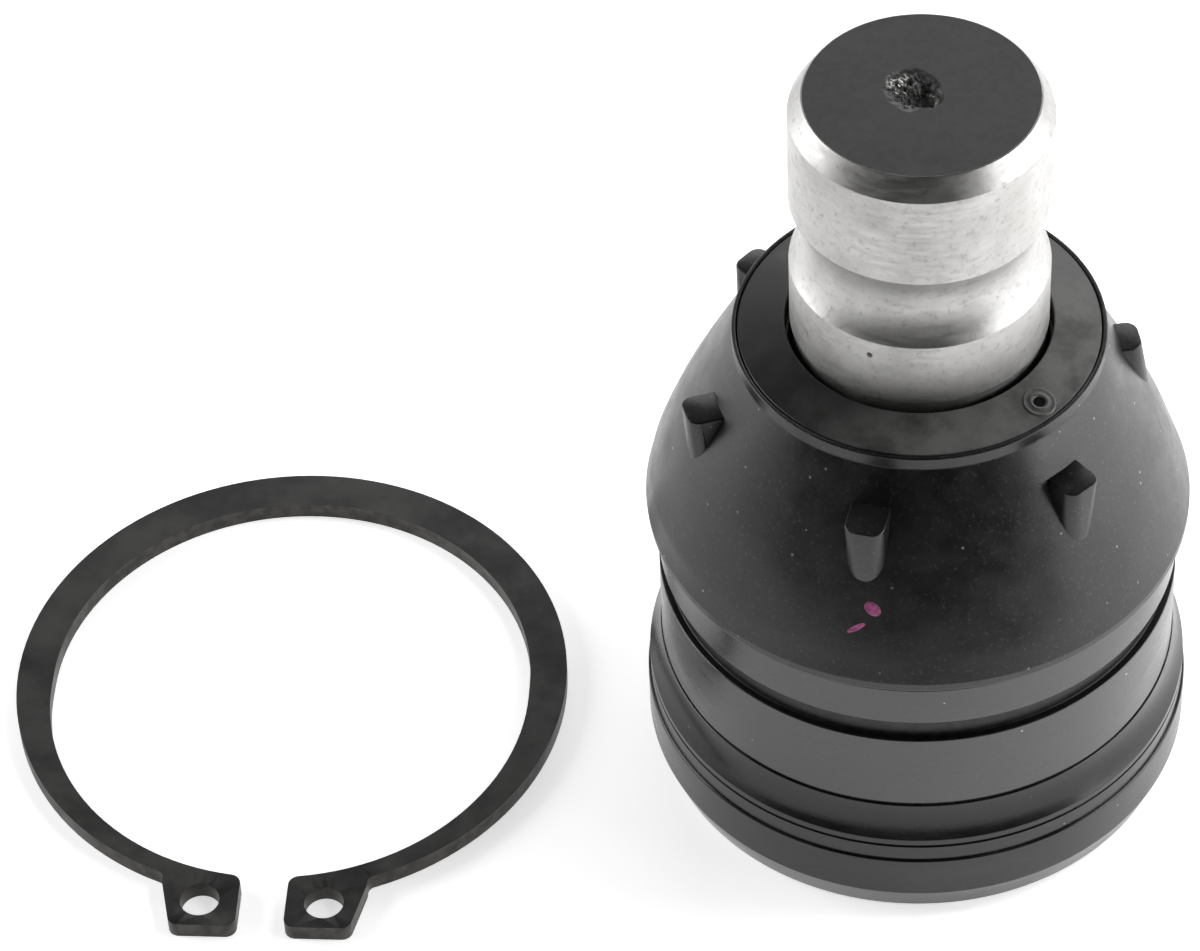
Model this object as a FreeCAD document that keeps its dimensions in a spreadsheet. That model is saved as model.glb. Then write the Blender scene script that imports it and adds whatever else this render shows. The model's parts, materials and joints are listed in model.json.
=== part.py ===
import FreeCAD, Part
import math
import os

import Sketcher

# Suspension ball joint, standing on its foot, with its snap ring lying beside it.
# Millimetres. The origin is the centre of the foot's underside, and +Z runs up the stud.
# Radii are built outward from the ball, and heights upward from the floor.

doc = FreeCAD.newDocument("suspension_ball_joint")
sheet = doc.addObject("Spreadsheet::Sheet", "Sizes")

DRIVING_SIZES = {
    # The ball and its bearing shells
    "ball_radius": 13.5,
    "ball_clearance": 0.05,
    "ball_flat_radius": 3.5,
    "seat_wall": 3.45,
    "seat_base_thickness": 2.555,
    "seat_edge_chamfer": 1.0,
    "seat_shoulder_drop": 1.2,
    "seat_lip_rise": 6.55,
    "seat_lip_width": 1.24,
    "seat_lip_height": 0.9,
    "grease_pocket_margin": 1.1,
    "grease_pocket_depth": 0.8,
    "grease_slot_width": 1.4,
    "grease_slot_depth": 5.0,
    "grease_slot_bite": 0.7,
    "grease_slot_count": 6,
    # The cover and the spring under the lower shell
    "lip_thickness": 0.9,
    "lip_reach": 2.3,
    "lip_clearance": 0.2,
    "cover_ledge": 0.6,
    "cover_thickness": 1.7,
    "cover_dish_slope": 0.8,
    "spring_side_clearance": 1.5,
    "spring_width": 6.0,
    "spring_thickness": 1.0,
    "spring_dish": 1.2,
    # The housing's foot
    "base_bevel_width": 1.0,
    "base_bevel_height": 2.7,
    "flange_reach": 1.25,
    "flange_height": 4.0,
    "shoulder_reach": 1.05,
    "shoulder_height": 2.3,
    "flare_height": 3.15,
    "flare_curve_radius": 5.8,
    "flare_step": 0.1,
    # The housing's press-fit cylinder, its groove and the spigot that carries the boot
    "body_wall": 3.75,
    "upper_land_height": 4.0,
    "ring_groove_height": 2.1,
    "ring_groove_depth": 0.6,
    "spigot_wall": 1.5,
    "spigot_height": 3.8,
    "spigot_chamfer": 0.6,
    "mouth_land_height": 0.9,
    "mouth_flare_width": 1.1,
    "mouth_flare_height": 1.45,
    "edge_break": 0.25,
    "step_edge_break": 0.12,
    "tool_mark_height": 0.25,
    "tool_mark_depth": 0.14,
    "shoulder_mark_lift": 1.5,
    "cutter_run_out": 1.0,
    # The boot
    "boot_height": 18.0,
    "boot_overhang": 0.8,
    "boot_foot_lift": 0.1,
    "boot_foot_bevel": 0.6,
    "boot_belly_lift": 1.3,
    "boot_wall": 1.7,
    "boot_crown_radius": 100.0,
    "boot_rim_height": 1.1,
    "boot_rim_width": 0.35,
    "boot_lip_clearance": 0.2,
    "boot_lip_height": 1.8,
    "boot_lip_width": 1.6,
    "boot_ring_clearance": 0.1,
    "nub_count": 6,
    "nub_angle": -107.5,
    "nub_width": 3.35,
    "nub_height": 5.6,
    "nub_drop": 2.8,
    "nub_stand_out": 3.41,
    "nub_foot_stand_out": 0.2,
    "nub_corner_round": 0.95,
    # The boot's two rings
    "collar_hole_clearance": 0.35,
    "collar_ring_width": 3.7,
    "collar_ring_height": 1.0,
    "collar_crown": 0.85,
    "base_ring_wall": 0.8,
    "base_ring_height": 3.0,
    "base_ring_foot_inset": 0.35,
    "base_ring_foot_thickness": 0.7,
    # The stud above the ball
    "neck_radius": 7.0,
    "neck_cone_height": 5.0,
    "seal_land_step": 0.2,
    "seal_land_below": 1.8,
    "seal_land_above": 1.4,
    "stud_radius": 10.0,
    "bolt_groove_lift": 5.87,
    "bolt_groove_radius": 6.0,
    "bolt_groove_depth": 1.022,
    "stud_end_length": 9.93,
    "stud_chamfer_width": 1.05,
    "stud_chamfer_height": 1.7,
    "centre_hole_radius": 2.3,
    "centre_hole_tip_radius": 0.7,
    "centre_hole_depth": 1.5,
    # The snap ring, free, beside the joint
    "ring_thickness": 1.5,
    "ring_grip": 0.1,
    "ring_width": 3.05,
    "ring_bore_offset": 0.4,
    "ring_stretch": 1.3,
    "ring_gap": 3.9,
    "ring_spacing": 6.77,
    "ring_centre_back": 5.9,
    "ring_turn": -5.6,
    "lug_width": 5.35,
    "lug_flare": 1.05,
    "lug_height": 3.75,
    "lug_root_sink": 0.7,
    "lug_corner_round": 0.9,
    "lug_root_round": 0.7,
    "lug_hole_radius": 1.6,
    "lug_hole_offset": 3.1,
    "lug_hole_inset": 2.6,
}

MATCH_TOLERANCE = 0.01
POINT_TOLERANCE = 1e-6

for row, (alias, number) in enumerate(DRIVING_SIZES.items(), start=1):
    cell = "A" + str(row)
    sheet.set(cell, str(number))
    sheet.setAlias(cell, alias)
doc.recompute()


class Length:
    """A number and the sheet formula that gives it, so that both stay the same sum."""

    def __init__(self, value, text):
        self.value = value
        self.text = text

    def __add__(self, other):
        other = as_length(other)
        return Length(self.value + other.value, "(" + self.text + " + " + other.text + ")")

    def __sub__(self, other):
        other = as_length(other)
        return Length(self.value - other.value, "(" + self.text + " - " + other.text + ")")

    def __mul__(self, other):
        other = as_length(other)
        return Length(self.value * other.value, "(" + self.text + " * " + other.text + ")")

    def __truediv__(self, other):
        other = as_length(other)
        return Length(self.value / other.value, "(" + self.text + " / " + other.text + ")")

    def __neg__(self):
        return Length(-self.value, "(0 - " + self.text + ")")


def as_length(item):
    """A plain number as a Length, and a Length as it is."""
    return item if isinstance(item, Length) else Length(float(item), str(item))


def size(alias):
    """One driving size of the sheet."""
    return Length(float(sheet.get(alias)), "Sizes." + alias)


def leg(hypotenuse, other):
    """The second short side of a right-angled triangle."""
    root = (hypotenuse * hypotenuse) - (other * other)
    return Length(math.sqrt(root.value), "sqrt(" + root.text + ")")


def matches(number, length):
    """True if a measured number is this length."""
    return abs(number - length.value) < MATCH_TOLERANCE


# The foot, the cover and the spring, from the floor up

flange_foot = size("base_bevel_height")
flange_top = flange_foot + size("flange_height")
shoulder_top = flange_top + size("shoulder_height")
lower_land_foot = shoulder_top + size("flare_height")
cover_top = size("lip_thickness") + size("cover_thickness")
dish_floor = size("cover_thickness")
seat_floor = dish_floor + size("spring_thickness") + size("spring_dish")

# The ball in its shells, and the mouth over it

cavity_radius = size("ball_radius") + size("ball_clearance")
grease_pocket_radius = size("ball_flat_radius") + size("grease_pocket_margin")
grease_pocket_floor = seat_floor + size("seat_base_thickness")
grease_pocket_edge = grease_pocket_floor + size("grease_pocket_depth")
ball_centre = grease_pocket_edge + leg(cavity_radius, grease_pocket_radius)
seat_lip = ball_centre + size("seat_lip_rise")
seat_lip_radius = leg(cavity_radius, size("seat_lip_rise"))
mouth_foot = seat_lip + size("seat_lip_height")
mouth_radius = seat_lip_radius + size("seat_lip_width")
mouth_land_top = mouth_foot + size("mouth_land_height")
mouth_flare_radius = mouth_radius + size("mouth_flare_width")
seat_shoulder = mouth_foot - size("seat_shoulder_drop")
seat_radius = cavity_radius + size("seat_wall")

# The housing's upper part, from its top down, and its radii

housing_top = mouth_land_top + size("mouth_flare_height")
body_top = housing_top - size("spigot_height")
groove_top = body_top - size("upper_land_height")
groove_foot = groove_top - size("ring_groove_height")
body_radius = seat_radius + size("body_wall")
ring_groove_radius = body_radius - size("ring_groove_depth")
spigot_radius = seat_radius + size("spigot_wall")
flange_radius = body_radius + size("flange_reach")
base_radius = flange_radius - size("base_bevel_width")
shoulder_radius = body_radius + size("shoulder_reach")
cover_radius = seat_radius + size("cover_ledge")
lip_radius = cover_radius - size("lip_reach")
cover_step_radius = lip_radius - size("lip_clearance")
cover_dish_radius = cover_step_radius - size("cover_dish_slope")

# The boot and its two rings

boot_radius = body_radius + size("boot_overhang")
boot_foot = body_top + size("boot_foot_lift")
boot_belly = boot_foot + size("boot_belly_lift")
boot_neck = body_top + size("boot_height")
boot_rim_top = boot_neck + size("boot_rim_height")
collar_hole_radius = size("stud_radius") + size("collar_hole_clearance")
collar_ring_radius = collar_hole_radius + size("collar_ring_width")
collar_seat_radius = collar_ring_radius + size("boot_ring_clearance")
boot_neck_radius = collar_seat_radius + size("boot_rim_width")
collar_ring_foot = boot_rim_top - size("collar_ring_height")
collar_ring_top = boot_rim_top + size("collar_crown")
seal_land_radius = size("stud_radius") - size("seal_land_step")
boot_lip_foot = collar_ring_foot - size("boot_lip_height")
boot_lip_radius = seal_land_radius + size("boot_lip_clearance")
boot_throat_radius = boot_lip_radius + size("boot_lip_width")
base_ring_radius = spigot_radius + size("base_ring_wall")
base_ring_top = body_top + size("base_ring_height")
base_ring_foot_radius = body_radius - size("base_ring_foot_inset")
base_ring_foot_top = body_top + size("base_ring_foot_thickness")
boot_bead_radius = base_ring_radius + size("boot_ring_clearance")
boot_foot_radius = base_ring_foot_radius + size("boot_ring_clearance")

# The stud above the boot's lip

shank_start = boot_lip_foot - size("seal_land_below")
neck_top = shank_start - size("neck_cone_height")
clamp_start = boot_rim_top + size("seal_land_above")
bolt_groove_foot = clamp_start + size("bolt_groove_lift")
bolt_axis_radius = size("bolt_groove_radius") - size("bolt_groove_depth")
bolt_groove_height = leg(size("bolt_groove_radius"), bolt_axis_radius) * 2
bolt_groove_top = bolt_groove_foot + bolt_groove_height
stud_top = bolt_groove_top + size("stud_end_length")

# The snap ring, which is a little tighter than its groove

ring_inner_radius = ring_groove_radius - size("ring_grip")
ring_outer_radius = ring_inner_radius + size("ring_width")
lug_reach = ring_outer_radius + size("lug_height")
lug_root_reach = ring_outer_radius - size("lug_root_sink")
ring_distance = flange_radius + ring_outer_radius + size("ring_spacing")


def origin_plane(body, role):
    """One of the body's own origin planes."""
    return [plane for plane in body.Origin.OriginFeatures if plane.Role == role][0]


def new_body(label):
    body = doc.addObject("PartDesign::Body", label)
    body.Label = label
    return body


def new_sketch(body, name, role="XZ_Plane", lift=None):
    """A sketch on one of the body's origin planes, lifted off it where a height is given."""
    sketch = body.newObject("Sketcher::SketchObject", name)
    sketch.AttachmentSupport = [(origin_plane(body, role), "")]
    sketch.MapMode = "FlatFace"
    if lift is not None:
        sketch.setExpression("AttachmentOffset.Base.z", lift.text)
    return sketch


def pin_point(sketch, curve, end, across, up):
    """Holds one end of a curve at its distances from the sketch's two axes."""
    for kind, axis_id, distance in (("DistanceX", -2, across), ("DistanceY", -1, up)):
        if distance.value == 0:
            sketch.addConstraint(Sketcher.Constraint("PointOnObject", curve, end, axis_id))
            continue
        row = sketch.addConstraint(Sketcher.Constraint(kind, -1, 1, curve, end, distance.value))
        sketch.setExpression("Constraints[" + str(row) + "]", distance.text)


def arc_between(start, finish, radius, left):
    """An arc from start to finish, which bends to the left or right of its chord."""
    chord = finish - start
    middle = (start + finish) * 0.5
    half = chord.Length / 2
    normal = FreeCAD.Vector(-chord.y, chord.x, 0).normalize()
    sagitta = radius - math.sqrt(radius * radius - half * half)
    top = middle + normal * (sagitta if left else -sagitta)
    return Part.Arc(start, top, finish)


def draw_outline(sketch, corners):
    """A closed outline. Each corner is (across, up) or (across, up, radius, side).

    The last two say that the stretch after the corner is an arc of that radius,
    which bulges to the left or to the right of the way from corner to corner.
    """
    points = [FreeCAD.Vector(as_length(c[0]).value, as_length(c[1]).value, 0) for c in corners]
    count = len(corners)
    curves = []
    ends = []
    for number, corner in enumerate(corners):
        start = points[number]
        finish = points[(number + 1) % count]
        if len(corner) == 2:
            curves.append(sketch.addGeometry(Part.LineSegment(start, finish), False))
            ends.append((1, 2))
            continue
        arc = arc_between(start, finish, corner[2].value, corner[3] == "left")
        curves.append(sketch.addGeometry(arc, False))
        starts_here = sketch.getPoint(curves[-1], 1).distanceToPoint(start) < POINT_TOLERANCE
        ends.append((1, 2) if starts_here else (2, 1))
        row = sketch.addConstraint(Sketcher.Constraint("Radius", curves[-1], corner[2].value))
        sketch.setExpression("Constraints[" + str(row) + "]", corner[2].text)
    for number, corner in enumerate(corners):
        follower = (number + 1) % count
        sketch.addConstraint(
            Sketcher.Constraint(
                "Coincident", curves[number], ends[number][1], curves[follower], ends[follower][0]
            )
        )
        pin_point(sketch, curves[number], ends[number][0], as_length(corner[0]), as_length(corner[1]))


def draw_circle(sketch, across, up, radius):
    """A circle with its centre held at its distances from the two axes."""
    centre = FreeCAD.Vector(as_length(across).value, as_length(up).value, 0)
    ring = sketch.addGeometry(Part.Circle(centre, FreeCAD.Vector(0, 0, 1), radius.value), False)
    pin_point(sketch, ring, 3, as_length(across), as_length(up))
    row = sketch.addConstraint(Sketcher.Constraint("Radius", ring, radius.value))
    sketch.setExpression("Constraints[" + str(row) + "]", radius.text)


def turned(body, name, corners, kind="PartDesign::Revolution"):
    """A feature turned about the body's upright axis, added or, as a Groove, cut away."""
    sketch = new_sketch(body, name + "_sketch")
    draw_outline(sketch, corners)
    feature = body.newObject(kind, name)
    feature.Profile = sketch
    feature.ReferenceAxis = (sketch, ["V_Axis"])
    feature.Angle = 360
    doc.recompute()
    return feature


def raised(body, name, draw, height, lift=None, kind="PartDesign::Pad"):
    """A feature raised from, or as a Pocket sunk into, a sketch that lies flat."""
    sketch = new_sketch(body, name + "_sketch", "XY_Plane", lift)
    draw(sketch)
    feature = body.newObject(kind, name)
    feature.Profile = sketch
    feature.setExpression("Length", height.text)
    doc.recompute()
    return feature


def repeat_round(body, name, feature, axis, count):
    """Copies of one feature, evenly spaced about the upright axis, one of its sketch's own."""
    pattern = body.newObject("PartDesign::PolarPattern", name)
    pattern.Originals = [feature]
    pattern.Axis = (feature.Profile[0], [axis])
    pattern.Angle = 360
    pattern.setExpression("Occurrences", count.text)
    body.Tip = pattern
    doc.recompute()
    return pattern


def circles_at(shape, radius, height):
    """The names of the round edges with this radius, about the upright axis at this height."""
    names = []
    for number, edge in enumerate(shape.Edges, start=1):
        if not isinstance(edge.Curve, Part.Circle):
            continue
        if matches(edge.Curve.Radius, radius) and matches(edge.Curve.Center.z, height):
            names.append("Edge" + str(number))
    return names


def break_edges(body, name, feature, places, width):
    """A small chamfer on the round edges at the given radii and heights."""
    names = []
    for place_radius, place_height in places:
        names += circles_at(feature.Shape, place_radius, place_height)
    chamfer = body.newObject("PartDesign::Chamfer", name)
    chamfer.Base = (feature, names)
    chamfer.setExpression("Size", width.text)
    doc.recompute()
    return chamfer


def make_housing():
    body = new_body("housing")
    turned(
        body,
        "forging",
        [
            (lip_radius, 0),
            (base_radius, 0),
            (flange_radius, flange_foot),
            (flange_radius, flange_top),
            (shoulder_radius, flange_top),
            (shoulder_radius, shoulder_top, size("flare_curve_radius"), "left"),
            (body_radius + size("flare_step"), lower_land_foot),
            (body_radius, lower_land_foot),
            (body_radius, body_top),
            (spigot_radius, body_top),
            (spigot_radius, housing_top - size("spigot_chamfer")),
            (spigot_radius - size("spigot_chamfer"), housing_top),
            (mouth_flare_radius, housing_top),
            (mouth_radius, mouth_land_top),
            (mouth_radius, mouth_foot),
            (seat_radius, seat_shoulder),
            (seat_radius, cover_top),
            (cover_radius, cover_top),
            (cover_radius, size("lip_thickness")),
            (lip_radius, size("lip_thickness")),
        ],
    )
    mark_foot = flange_top + size("shoulder_mark_lift")
    mark_height = size("tool_mark_height")
    mark_depth = size("tool_mark_depth")
    beyond = flange_radius + size("cutter_run_out")
    cuts = [
        ("ring_groove", ring_groove_radius, groove_foot, groove_top),
        ("shoulder_mark", shoulder_radius - mark_depth, mark_foot, mark_foot + mark_height),
        ("land_mark", body_radius - mark_depth, lower_land_foot, lower_land_foot + mark_height),
    ]
    for name, inner, foot, top in cuts:
        last = turned(
            body,
            name,
            [(inner, foot), (beyond, foot), (beyond, top), (inner, top)],
            "PartDesign::Groove",
        )
    outer_edges = [(base_radius, as_length(0)), (body_radius, body_top)]
    last = break_edges(body, "broken_edges", last, outer_edges, size("edge_break"))
    step_edge = [(flange_radius, flange_top)]
    break_edges(body, "broken_step_edge", last, step_edge, size("step_edge_break"))
    return body


def make_bottom_cover():
    body = new_body("bottom_cover")
    turned(
        body,
        "pressing",
        [
            (0, 0),
            (cover_dish_radius, 0),
            (cover_step_radius, size("lip_thickness")),
            (cover_radius, size("lip_thickness")),
            (cover_radius, cover_top),
            (cover_step_radius - size("cover_dish_slope") / 2, cover_top),
            (cover_dish_radius - size("cover_dish_slope"), dish_floor),
            (0, dish_floor),
        ],
    )
    return body


def make_preload_spring():
    body = new_body("preload_spring")
    outer = cover_dish_radius - size("cover_dish_slope") - size("spring_side_clearance")
    inner = outer - size("spring_width")
    turned(
        body,
        "dished_disc",
        [
            (outer, dish_floor),
            (outer, dish_floor + size("spring_thickness")),
            (inner, seat_floor),
            (inner, seat_floor - size("spring_thickness")),
        ],
    )
    return body


def make_lower_seat():
    """The shell under the ball, with a grease pocket and upright slots that open onto the ball."""
    body = new_body("lower_seat")
    chamfer = size("seat_edge_chamfer")
    turned(
        body,
        "shell",
        [
            (0, seat_floor),
            (seat_radius - chamfer, seat_floor),
            (seat_radius, seat_floor + chamfer),
            (seat_radius, ball_centre),
            (cavity_radius, ball_centre, cavity_radius, "left"),
            (grease_pocket_radius, grease_pocket_edge),
            (grease_pocket_radius, grease_pocket_floor),
            (0, grease_pocket_floor),
        ],
    )
    cavity_radius_at_slot_foot = leg(cavity_radius, size("grease_slot_depth"))
    inner = cavity_radius_at_slot_foot - size("grease_slot_bite")
    outer = cavity_radius + size("grease_slot_bite")
    half = size("grease_slot_width") / 2
    slot = raised(
        body,
        "slot",
        lambda sketch: draw_outline(
            sketch,
            [(inner, -half), (outer, -half), (outer, half), (inner, half)],
        ),
        size("grease_slot_depth"),
        ball_centre,
        "PartDesign::Pocket",
    )
    repeat_round(body, "grease_slots", slot, "N_Axis", size("grease_slot_count"))
    return body


def make_upper_seat():
    body = new_body("upper_seat")
    turned(
        body,
        "shell",
        [
            (cavity_radius, ball_centre),
            (seat_radius, ball_centre),
            (seat_radius, seat_shoulder),
            (mouth_radius, mouth_foot),
            (seat_lip_radius, seat_lip, cavity_radius, "left"),
        ],
    )
    return body


def make_ball_stud():
    body = new_body("ball_stud")
    ball = size("ball_radius")
    flat_height = ball_centre - leg(ball, size("ball_flat_radius"))
    neck_foot = ball_centre + leg(ball, size("neck_radius"))
    turned(
        body,
        "forging",
        [
            (0, flat_height),
            (size("ball_flat_radius"), flat_height, ball, "right"),
            (ball, ball_centre, ball, "right"),
            (size("neck_radius"), neck_foot),
            (size("neck_radius"), neck_top),
            (seal_land_radius, shank_start),
            (seal_land_radius, clamp_start - size("seal_land_step")),
            (size("stud_radius"), clamp_start),
            (size("stud_radius"), bolt_groove_foot, size("bolt_groove_radius"), "left"),
            (size("stud_radius"), bolt_groove_top),
            (size("stud_radius"), stud_top - size("stud_chamfer_height")),
            (size("stud_radius") - size("stud_chamfer_width"), stud_top),
            (0, stud_top),
        ],
    )
    tip_height = stud_top - size("centre_hole_depth")
    turned(
        body,
        "centre_hole",
        [
            (0, tip_height),
            (size("centre_hole_tip_radius"), tip_height),
            (size("centre_hole_radius"), stud_top),
            (0, stud_top),
        ],
        "PartDesign::Groove",
    )
    return body


def boot_chord(height):
    """The radius, at a height, of the straight line from the boot's belly to its neck."""
    share = (boot_neck - height) / (boot_neck - boot_belly)
    return boot_neck_radius + (boot_radius - boot_neck_radius) * share


def round_nub_fronts(body, feature):
    """A fillet on the steep front edges of every nub, so that its front runs out in a U."""
    steep_edges = []
    for number, edge in enumerate(feature.Shape.Edges, start=1):
        steep = edge.BoundBox.ZLength > size("nub_height").value / 2
        if steep and isinstance(edge.Curve, Part.Line):
            steep_edges.append("Edge" + str(number))
    fillet = body.newObject("PartDesign::Fillet", "nub_fronts")
    fillet.Base = (feature, steep_edges)
    fillet.setExpression("Radius", size("nub_corner_round").text)
    doc.recompute()


def add_nubs(body):
    """Small upright wedges round the boot, flat on top, whose fronts lean into its flank."""
    sketch = new_sketch(body, "nub_sketch")
    top = boot_neck - size("nub_drop")
    foot = top - size("nub_height")
    draw_outline(
        sketch,
        [
            (boot_chord(top), top),
            (boot_chord(foot), foot),
            (boot_chord(foot) + size("nub_foot_stand_out"), foot),
            (boot_chord(top) + size("nub_stand_out"), top),
        ],
    )
    nub = body.newObject("PartDesign::Pad", "nub")
    nub.Profile = sketch
    nub.SideType = "Symmetric"
    nub.setExpression("Length", size("nub_width").text)
    doc.recompute()
    nubs = repeat_round(body, "nubs", nub, "V_Axis", size("nub_count"))
    round_nub_fronts(body, nubs)


def make_dust_boot():
    body = new_body("dust_boot")
    bevel = size("boot_foot_bevel")
    crown = size("boot_crown_radius")
    turned(
        body,
        "moulding",
        [
            (boot_foot_radius, boot_foot),
            (boot_radius - bevel, boot_foot),
            (boot_radius, boot_foot + bevel),
            (boot_radius, boot_belly, crown, "right"),
            (boot_neck_radius, boot_neck),
            (boot_neck_radius, boot_rim_top),
            (collar_seat_radius, boot_rim_top),
            (collar_seat_radius, collar_ring_foot),
            (boot_lip_radius, collar_ring_foot),
            (boot_lip_radius, boot_lip_foot),
            (boot_throat_radius, boot_lip_foot, crown - size("boot_wall"), "left"),
            (boot_bead_radius, base_ring_top),
            (boot_bead_radius, base_ring_foot_top),
            (boot_foot_radius, base_ring_foot_top),
        ],
    )
    add_nubs(body)
    body.setExpression("Placement.Rotation.Angle", size("nub_angle").text + " * 1 deg")
    return body


def make_boot_collar_ring():
    body = new_body("boot_collar_ring")
    turned(
        body,
        "ring",
        [
            (collar_hole_radius, collar_ring_foot),
            (collar_ring_radius, collar_ring_foot),
            (collar_ring_radius, boot_rim_top),
            (collar_hole_radius, collar_ring_top),
        ],
    )
    return body


def make_boot_base_ring():
    body = new_body("boot_base_ring")
    turned(
        body,
        "angle_ring",
        [
            (spigot_radius, body_top),
            (base_ring_foot_radius, body_top),
            (base_ring_foot_radius, base_ring_foot_top),
            (base_ring_radius, base_ring_foot_top),
            (base_ring_radius, base_ring_top),
            (spigot_radius, base_ring_top),
        ],
    )
    return body


def add_lugs(body):
    """The two ears at the ring's ends, one each side of the gap."""
    gap_edge = size("ring_gap") / 2
    lug_end = gap_edge + size("lug_width")
    lug_root = lug_end + size("lug_flare")
    for side, name in ((1, "right_lug"), (-1, "left_lug")):
        corners = [
            (gap_edge * side, -ring_inner_radius),
            (gap_edge * side, -lug_reach),
            (lug_end * side, -lug_reach),
            (lug_root * side, -lug_root_reach),
            (lug_root * side, -ring_inner_radius),
        ]
        raised(
            body,
            name,
            lambda sketch, corners=corners: draw_outline(sketch, corners),
            size("ring_thickness"),
        )


def cut_through(body, name, draw):
    """Cuts a drawn shape right through the ring, from its top face down."""
    return raised(body, name, draw, size("ring_thickness"), size("ring_thickness"), "PartDesign::Pocket")


def cut_bore(body):
    """The bore: two half circles with a short straight stretch between them.

    It lies off the disc's centre, so that the ring narrows from its back towards its lugs.
    """
    back = -size("ring_bore_offset")
    front = back - size("ring_stretch")
    inner = ring_inner_radius
    cut_through(body, "back_bore", lambda sketch: draw_circle(sketch, 0, back, inner))
    cut_through(body, "front_bore", lambda sketch: draw_circle(sketch, 0, front, inner))
    cut_through(
        body,
        "bore_stretch",
        lambda sketch: draw_outline(
            sketch,
            [(-inner, back), (-inner, front), (inner, front), (inner, back)],
        ),
    )


def cut_gap(body):
    gap_edge = size("ring_gap") / 2
    beyond = -lug_reach - size("cutter_run_out")
    cut_through(
        body,
        "gap",
        lambda sketch: draw_outline(
            sketch,
            [
                (-gap_edge, -ring_inner_radius),
                (gap_edge, -ring_inner_radius),
                (gap_edge, beyond),
                (-gap_edge, beyond),
            ],
        ),
    )


def draw_plier_holes(sketch):
    across = size("ring_gap") / 2 + size("lug_hole_offset")
    for side in (1, -1):
        draw_circle(sketch, across * side, size("lug_hole_inset") - lug_reach, size("lug_hole_radius"))


def round_uprights(body, name, feature, is_wanted, radius):
    """A fillet on the ring's upright edges whose middles are wanted."""
    names = []
    for number, edge in enumerate(feature.Shape.Edges, start=1):
        upright = isinstance(edge.Curve, Part.Line) and edge.BoundBox.ZLength > 0
        if upright and is_wanted(edge.CenterOfMass):
            names.append("Edge" + str(number))
    fillet = body.newObject("PartDesign::Fillet", name)
    fillet.Base = (feature, names)
    fillet.setExpression("Radius", radius.text)
    doc.recompute()
    return fillet


def is_lug_corner(point):
    """True at a corner beside the gap or at a lug's end."""
    return matches(abs(point.x), size("ring_gap") / 2) or matches(point.y, -lug_reach)


def is_lug_root(point):
    """True where a lug's outer side meets the ring's rim."""
    on_rim = matches(math.hypot(point.x, point.y), ring_outer_radius)
    return on_rim and point.y < -ring_inner_radius.value


def make_snap_ring():
    """The free ring, drawn with its gap towards -Y and then laid on the floor."""
    body = new_body("snap_ring")
    raised(
        body,
        "disc",
        lambda sketch: draw_circle(sketch, 0, 0, ring_outer_radius),
        size("ring_thickness"),
    )
    add_lugs(body)
    cut_bore(body)
    cut_gap(body)
    last = cut_through(body, "plier_holes", draw_plier_holes)
    last = round_uprights(body, "lug_corners", last, is_lug_corner, size("lug_corner_round"))
    round_uprights(body, "lug_roots", last, is_lug_root, size("lug_root_round"))
    body.setExpression("Placement.Base.x", (-ring_distance).text)
    body.setExpression("Placement.Base.y", size("ring_centre_back").text)
    body.setExpression("Placement.Rotation.Angle", size("ring_turn").text + " * 1 deg")
    return body


bodies = [
    make_housing(),
    make_bottom_cover(),
    make_preload_spring(),
    make_lower_seat(),
    make_upper_seat(),
    make_ball_stud(),
    make_dust_boot(),
    make_boot_collar_ring(),
    make_boot_base_ring(),
    make_snap_ring(),
]
doc.recompute()

for item in doc.Objects:
    if "Invalid" in item.State or "Error" in item.State:
        raise RuntimeError(item.Name + " failed: " + str(item.State))
    is_cut = item.TypeId in ("PartDesign::Pocket", "PartDesign::Groove")
    if is_cut and item.Shape.Volume >= item.BaseFeature.Shape.Volume:
        raise RuntimeError(item.Name + " cuts nothing")

os.makedirs("parts", exist_ok=True)
for body in bodies:
    shape = body.Shape
    if shape.isNull() or not shape.isValid() or len(shape.Solids) != 1:
        raise RuntimeError(body.Label + " is not one valid solid")
    shape.exportStep("parts/" + body.Label + ".step")
    box = shape.BoundBox
    corners = (box.XMin, box.XMax, box.YMin, box.YMax, box.ZMin, box.ZMax)
    print(body.Label, round(shape.Volume, 1), [round(corner, 2) for corner in corners])
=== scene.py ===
import json
import math

import bmesh
import bpy
from mathutils import Matrix, Vector, noise


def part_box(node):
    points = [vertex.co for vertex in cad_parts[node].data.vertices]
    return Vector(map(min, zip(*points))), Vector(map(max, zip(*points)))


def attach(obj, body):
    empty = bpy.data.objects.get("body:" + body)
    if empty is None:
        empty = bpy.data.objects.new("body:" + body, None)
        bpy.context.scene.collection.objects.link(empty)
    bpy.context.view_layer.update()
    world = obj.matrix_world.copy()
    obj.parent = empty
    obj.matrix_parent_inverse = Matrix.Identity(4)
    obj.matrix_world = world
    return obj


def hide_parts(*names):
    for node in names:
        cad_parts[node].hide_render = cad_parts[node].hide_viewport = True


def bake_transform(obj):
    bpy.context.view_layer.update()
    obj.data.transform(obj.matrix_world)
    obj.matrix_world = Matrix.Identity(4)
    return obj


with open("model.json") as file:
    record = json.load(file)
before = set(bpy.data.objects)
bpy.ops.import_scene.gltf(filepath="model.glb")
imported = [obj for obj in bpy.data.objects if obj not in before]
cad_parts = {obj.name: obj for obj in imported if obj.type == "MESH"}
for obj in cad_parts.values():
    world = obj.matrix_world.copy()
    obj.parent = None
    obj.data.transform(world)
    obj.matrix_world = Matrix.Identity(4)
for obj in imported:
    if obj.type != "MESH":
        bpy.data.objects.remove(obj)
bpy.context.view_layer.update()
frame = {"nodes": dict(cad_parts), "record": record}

# Lengths are metres. MM turns a size in millimetres into metres.
MM = 0.001

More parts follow.
